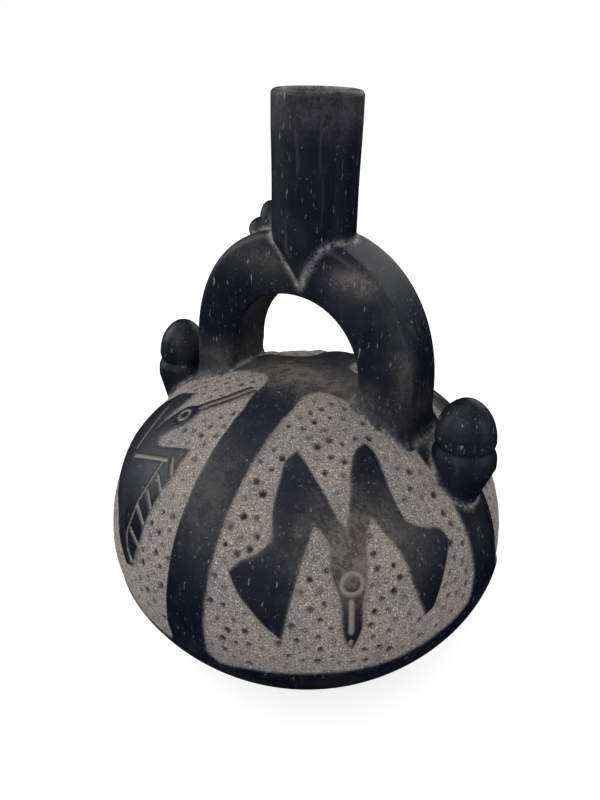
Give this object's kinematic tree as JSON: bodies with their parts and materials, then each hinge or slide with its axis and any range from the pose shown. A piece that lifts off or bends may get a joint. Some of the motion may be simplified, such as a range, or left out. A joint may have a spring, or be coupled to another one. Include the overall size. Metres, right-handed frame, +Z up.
{
  "type": "stirrup spout vessel",
  "caption": "Round hollow blackware bottle with a stirrup handle that joins in a straight spout, ear lugs on the shoulders and carved, stippled panels.",
  "frame": {"origin": "centre of the flat base, on its underside", "axes": "+Z up along the spout, X in the plane of the stirrup, -Y towards the front band between the two best preserved panels"},
  "size_m": [0.151, 0.1514, 0.2084],
  "materials": {
    "blackware": "burnished black, with matt grey stippled panels"
  },
  "bodies": {
    "root": {"vessel": "blackware"}
  },
  "joints": []
}
